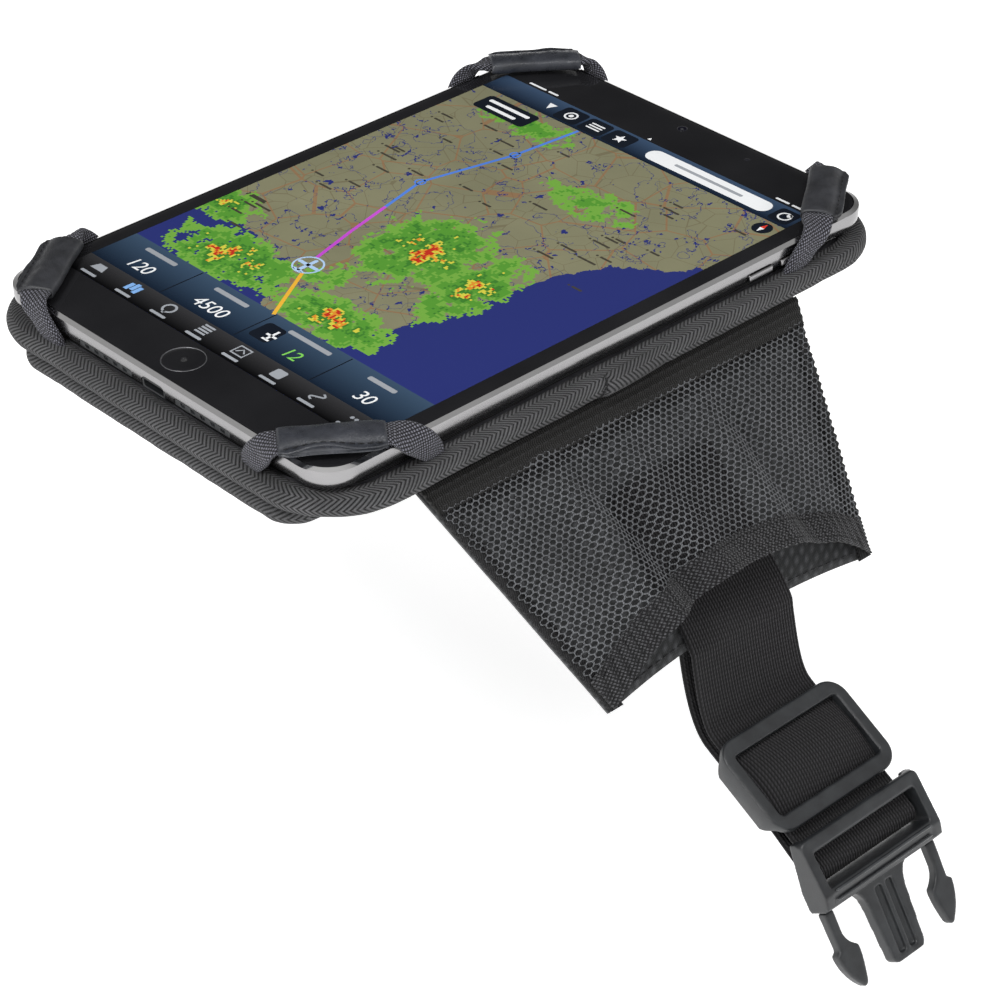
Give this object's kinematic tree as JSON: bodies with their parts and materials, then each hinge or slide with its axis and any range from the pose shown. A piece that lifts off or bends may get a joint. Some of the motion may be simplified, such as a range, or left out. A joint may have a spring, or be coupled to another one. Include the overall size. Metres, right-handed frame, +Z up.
{
  "type": "tablet kneeboard",
  "caption": "Padded kneeboard with a small tablet held by elastic corner loops on a swivelling board, a net chart pocket wing, a leg strap and a side-release buckle.",
  "frame": {"origin": "centre of the base pad's flat underside, which lies on the thigh", "axes": "+X along the tablet's long side towards its top (the knee), +Y away from the pocket wing, +Z up out of the screen"},
  "size_m": [0.211, 0.2547, 0.1453],
  "materials": {
    "twill_tape": "ribbed twill binding tape, matt",
    "canvas": "plain woven nylon canvas, matt",
    "foam": "closed-cell foam sheet",
    "stiffener": "moulded plastic sheet",
    "steel": "brushed",
    "alloy": "satin anodised",
    "black_glass": "polished, black behind",
    "display": "display panel",
    "battery": "wrapped cell",
    "circuit": "circuit board",
    "dark_plastic": "satin moulded acetal",
    "lens": "coated lens",
    "elastic": "knitted elastic",
    "leather": "soft grained leather",
    "webbing": "ribbed elastic webbing",
    "net": "shiny nylon net",
    "hem": "ribbed woven hem tape",
    "felt": "brushed grip fabric"
  },
  "bodies": {
    "base": {"base_grip_fabric": "felt", "base_foam": "foam", "base_stiffener": "stiffener", "base_face_fabric": "canvas", "base_binding_tape": "twill_tape", "swivel_post": "steel", "swivel_cap": "steel", "wing_root_tape": "canvas"},
    "top_board": {"board_underside_fabric": "canvas", "board_stiffener": "stiffener", "board_foam": "foam", "board_face_fabric": "canvas", "board_binding_tape": "twill_tape", "tablet_rear_case": "alloy", "tablet_front_glass": "black_glass", "tablet_home_ring": "alloy", "tablet_display_panel": "display", "tablet_battery_near": "battery", "tablet_battery_far": "battery", "tablet_logic_board": "circuit", "tablet_charging_port": "dark_plastic", "tablet_speaker_near": "dark_plastic", "tablet_speaker_far": "dark_plastic", "tablet_front_camera": "lens", "tablet_rear_camera": "lens", "elastic_loop_bottom_near": "elastic", "elastic_loop_bottom_far": "elastic", "elastic_loop_top_near": "elastic", "elastic_loop_top_far": "elastic", "leather_sleeve_bottom_near": "leather", "leather_sleeve_bottom_far": "leather", "leather_sleeve_top_near": "leather", "leather_sleeve_top_far": "leather"},
    "home_button": {"tablet_home_button": "black_glass"},
    "power_button": {"tablet_power_button": "alloy"},
    "volume_up": {"tablet_volume_up": "alloy"},
    "volume_down": {"tablet_volume_down": "alloy"},
    "wing": {"wing_backing": "felt", "wing_top_band": "canvas", "wing_side_tape_bottom": "canvas", "wing_side_tape_top": "canvas", "wing_net": "net", "wing_mouth_hem": "hem", "strap_tongue": "webbing"},
    "strap": {"strap_upper_layer": "webbing", "strap_return_layer": "webbing"},
    "slider": {"strap_slider": "dark_plastic"},
    "buckle_plug": {"buckle_plug_body": "dark_plastic"},
    "latch_bottom": {"buckle_latch_bottom": "dark_plastic"},
    "latch_top": {"buckle_latch_top": "dark_plastic"},
    "far_tab": {"far_webbing_tab": "webbing"},
    "buckle_socket": {"buckle_socket_body": "dark_plastic"}
  },
  "joints": [
    {"name": "board_swivel", "type": "hinge", "parent": "base", "child": "top_board", "pos_m": [0, 0, 0.0063], "axis": [0, 0, 1], "continuous": true},
    {"name": "home_press", "type": "slide", "parent": "top_board", "child": "home_button", "axis": [0, 0, -1], "range_m": [0, 0.0003], "stiffness_N_per_m": 400},
    {"name": "power_press", "type": "slide", "parent": "top_board", "child": "power_button", "axis": [-1, 0, 0], "range_m": [0, 0.0004], "stiffness_N_per_m": 400},
    {"name": "volume_up_press", "type": "slide", "parent": "top_board", "child": "volume_up", "axis": [0, 1, 0], "range_m": [0, 0.0004], "stiffness_N_per_m": 400},
    {"name": "volume_down_press", "type": "slide", "parent": "top_board", "child": "volume_down", "axis": [0, 1, 0], "range_m": [0, 0.0004], "stiffness_N_per_m": 400},
    {"name": "wing_fold", "type": "hinge", "parent": "base", "child": "wing", "pos_m": [-0.0035, -0.0685, 0.0044], "axis": [1, 0, 0], "range_deg": [-30, 75]},
    {"name": "strap_fold", "type": "hinge", "parent": "wing", "child": "strap", "pos_m": [-0.0035, -0.11687, -0.04484], "axis": [1, 0, 0], "range_deg": [-35, 30]},
    {"name": "slider_slide", "type": "slide", "parent": "strap", "child": "slider", "axis": [0, 0.8686, 0.4955], "range_m": [0, 0.004]},
    {"name": "plug_tilt", "type": "hinge", "parent": "strap", "child": "buckle_plug", "pos_m": [-0.0035, -0.16112, -0.09256], "axis": [1, 0, 0], "range_deg": [-10, 10]},
    {"name": "latch_bottom_flex", "type": "hinge", "parent": "buckle_plug", "child": "latch_bottom", "pos_m": [-0.02335, -0.16739, -0.10048], "axis": [0, -0.8387, 0.5446], "range_deg": [0, 8], "stiffness_Nm_per_rad": 1.4},
    {"name": "latch_top_flex", "type": "hinge", "parent": "buckle_plug", "child": "latch_top", "pos_m": [0.01635, -0.16739, -0.10048], "axis": [0, 0.8387, -0.5446], "range_deg": [0, 8], "stiffness_Nm_per_rad": 1.4},
    {"name": "tab_fold", "type": "hinge", "parent": "base", "child": "far_tab", "pos_m": [-0.0035, 0.0602, 0.003], "axis": [1, 0, 0], "range_deg": [0, 85]},
    {"name": "socket_tilt", "type": "hinge", "parent": "far_tab", "child": "buckle_socket", "pos_m": [-0.0035, 0.0602, -0.017], "axis": [1, 0, 0], "range_deg": [-12, 12]}
  ]
}
